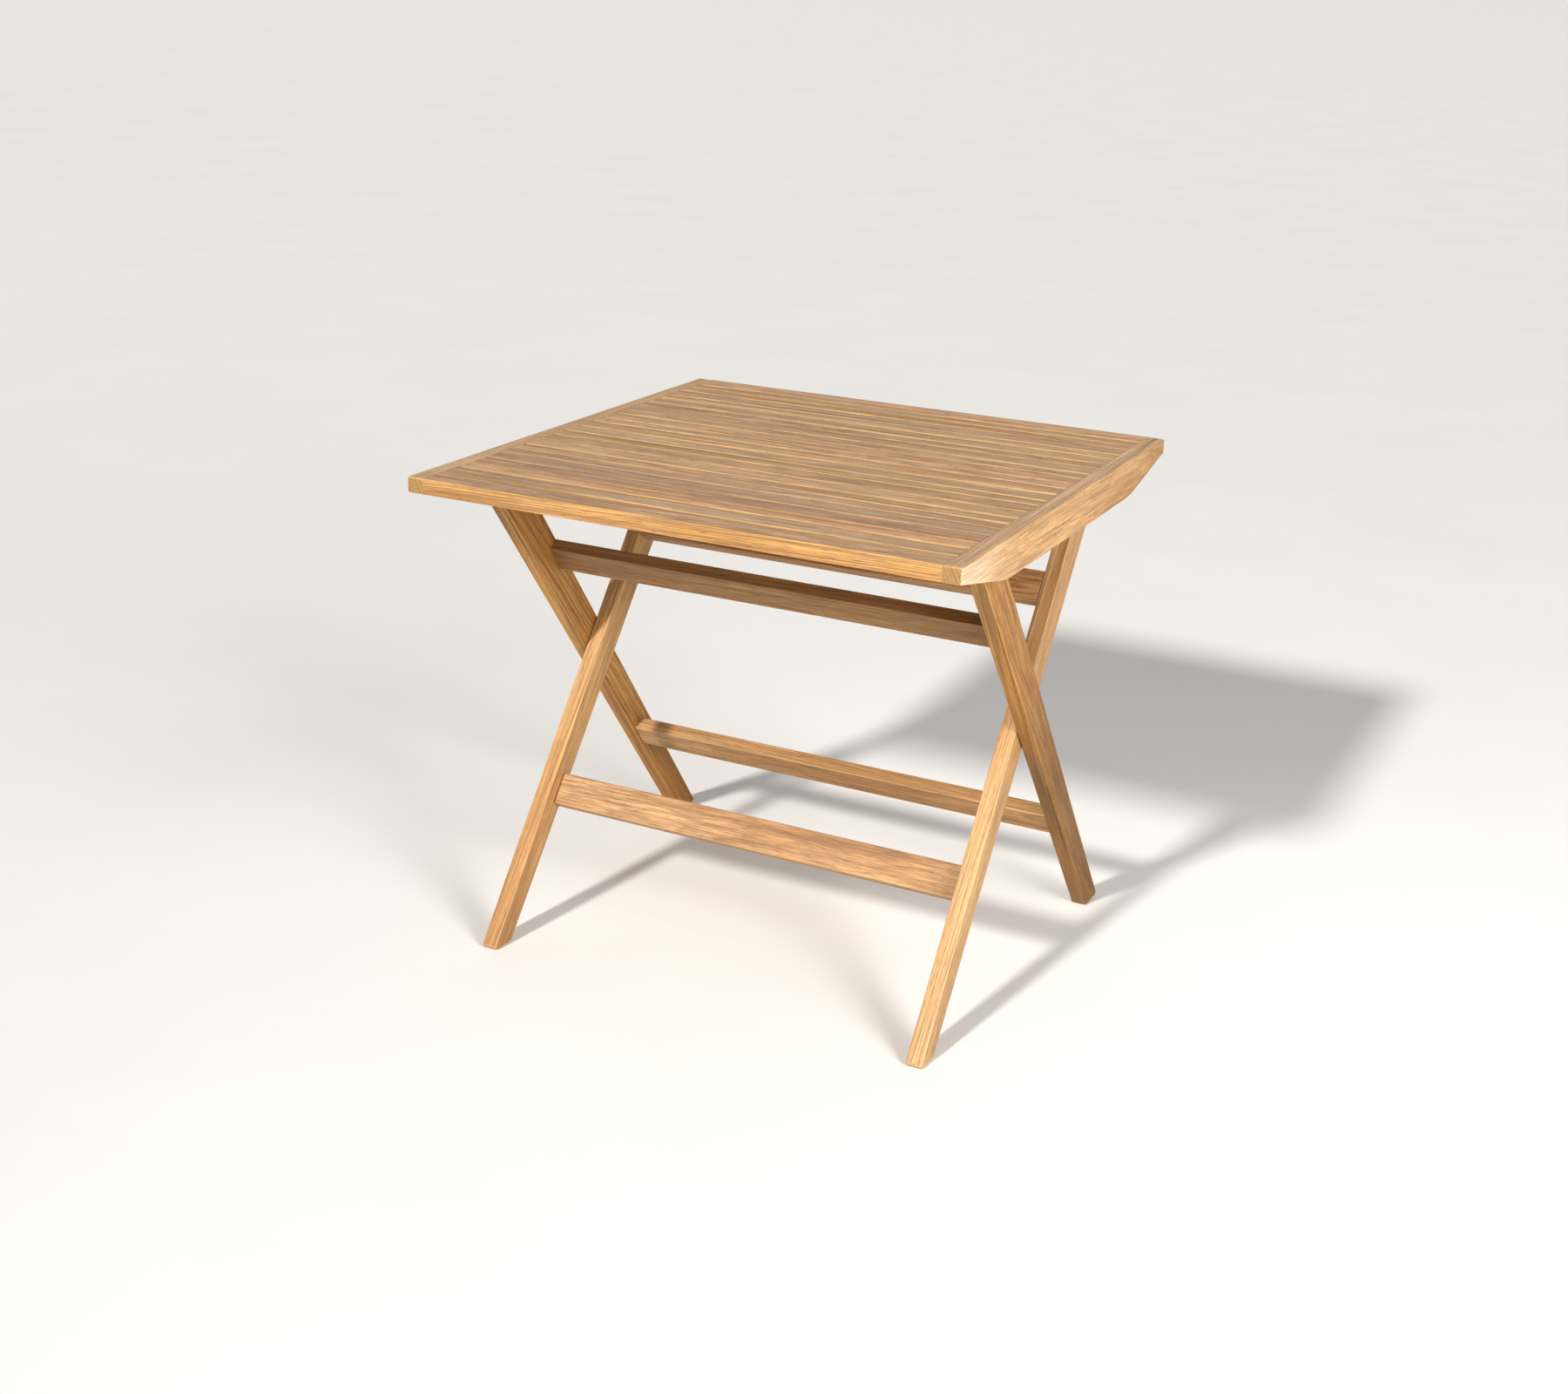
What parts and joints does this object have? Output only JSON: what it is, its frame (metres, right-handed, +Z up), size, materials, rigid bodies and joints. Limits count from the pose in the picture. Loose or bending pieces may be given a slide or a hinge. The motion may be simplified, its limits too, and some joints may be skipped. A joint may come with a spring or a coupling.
{
  "type": "folding picnic table",
  "caption": "Square teak folding picnic table with a slatted top on two crossed leg frames that flatten out under the top.",
  "frame": {"origin": "on the floor under the centre of the top", "axes": "+X to the right, +Y to the back, +Z up; the outer legs are pinned to the rails near the front"},
  "size_m": [0.8, 0.8, 0.72],
  "materials": {
    "teak_slats": "oiled teak, slightly weathered",
    "teak_rails": "oiled teak",
    "teak_outer_frame": "oiled teak",
    "teak_inner_frame": "oiled teak",
    "steel_pins": "satin",
    "brass_bushes": "satin brass",
    "washers": "plain nylon"
  },
  "bodies": {
    "outer_frame": {"outer_leg_left": "teak_outer_frame", "outer_leg_right": "teak_outer_frame", "outer_upper_stretcher": "teak_outer_frame", "outer_lower_stretcher": "teak_outer_frame", "top_hinge_bushes": "brass_bushes", "cross_hinge_pins": "steel_pins", "cross_hinge_washers": "washers"},
    "tabletop": {"side_rail_left": "teak_rails", "side_rail_right": "teak_rails", "front_board": "teak_slats", "back_board": "teak_slats", "slat_01": "teak_slats", "slat_02": "teak_slats", "slat_03": "teak_slats", "slat_04": "teak_slats", "slat_05": "teak_slats", "slat_06": "teak_slats", "slat_07": "teak_slats", "slat_08": "teak_slats", "slat_09": "teak_slats", "slat_10": "teak_slats", "slat_11": "teak_slats", "slat_12": "teak_slats", "slat_13": "teak_slats", "slat_14": "teak_slats", "slat_15": "teak_slats", "slat_16": "teak_slats", "slat_17": "teak_slats", "slat_18": "teak_slats", "slat_19": "teak_slats", "slat_20": "teak_slats", "slat_21": "teak_slats", "top_hinge_pins": "steel_pins", "top_hinge_washers": "washers"},
    "inner_frame": {"inner_leg_left": "teak_inner_frame", "inner_leg_right": "teak_inner_frame", "inner_upper_stretcher": "teak_inner_frame", "inner_lower_stretcher": "teak_inner_frame", "cross_hinge_bushes": "brass_bushes"}
  },
  "joints": [
    {"name": "top_fold", "type": "hinge", "parent": "outer_frame", "child": "tabletop", "pos_m": [0, -0.2167, 0.6827], "axis": [1, 0, 0], "range_deg": [-48, 0]},
    {"name": "leg_scissor", "type": "hinge", "parent": "outer_frame", "child": "inner_frame", "pos_m": [0, -0.0033, 0.384], "axis": [1, 0, 0], "range_deg": [-96, 0]}
  ],
  "couplings": [
    {"joint": "leg_scissor", "follows": "top_fold", "ratio": 2}
  ]
}
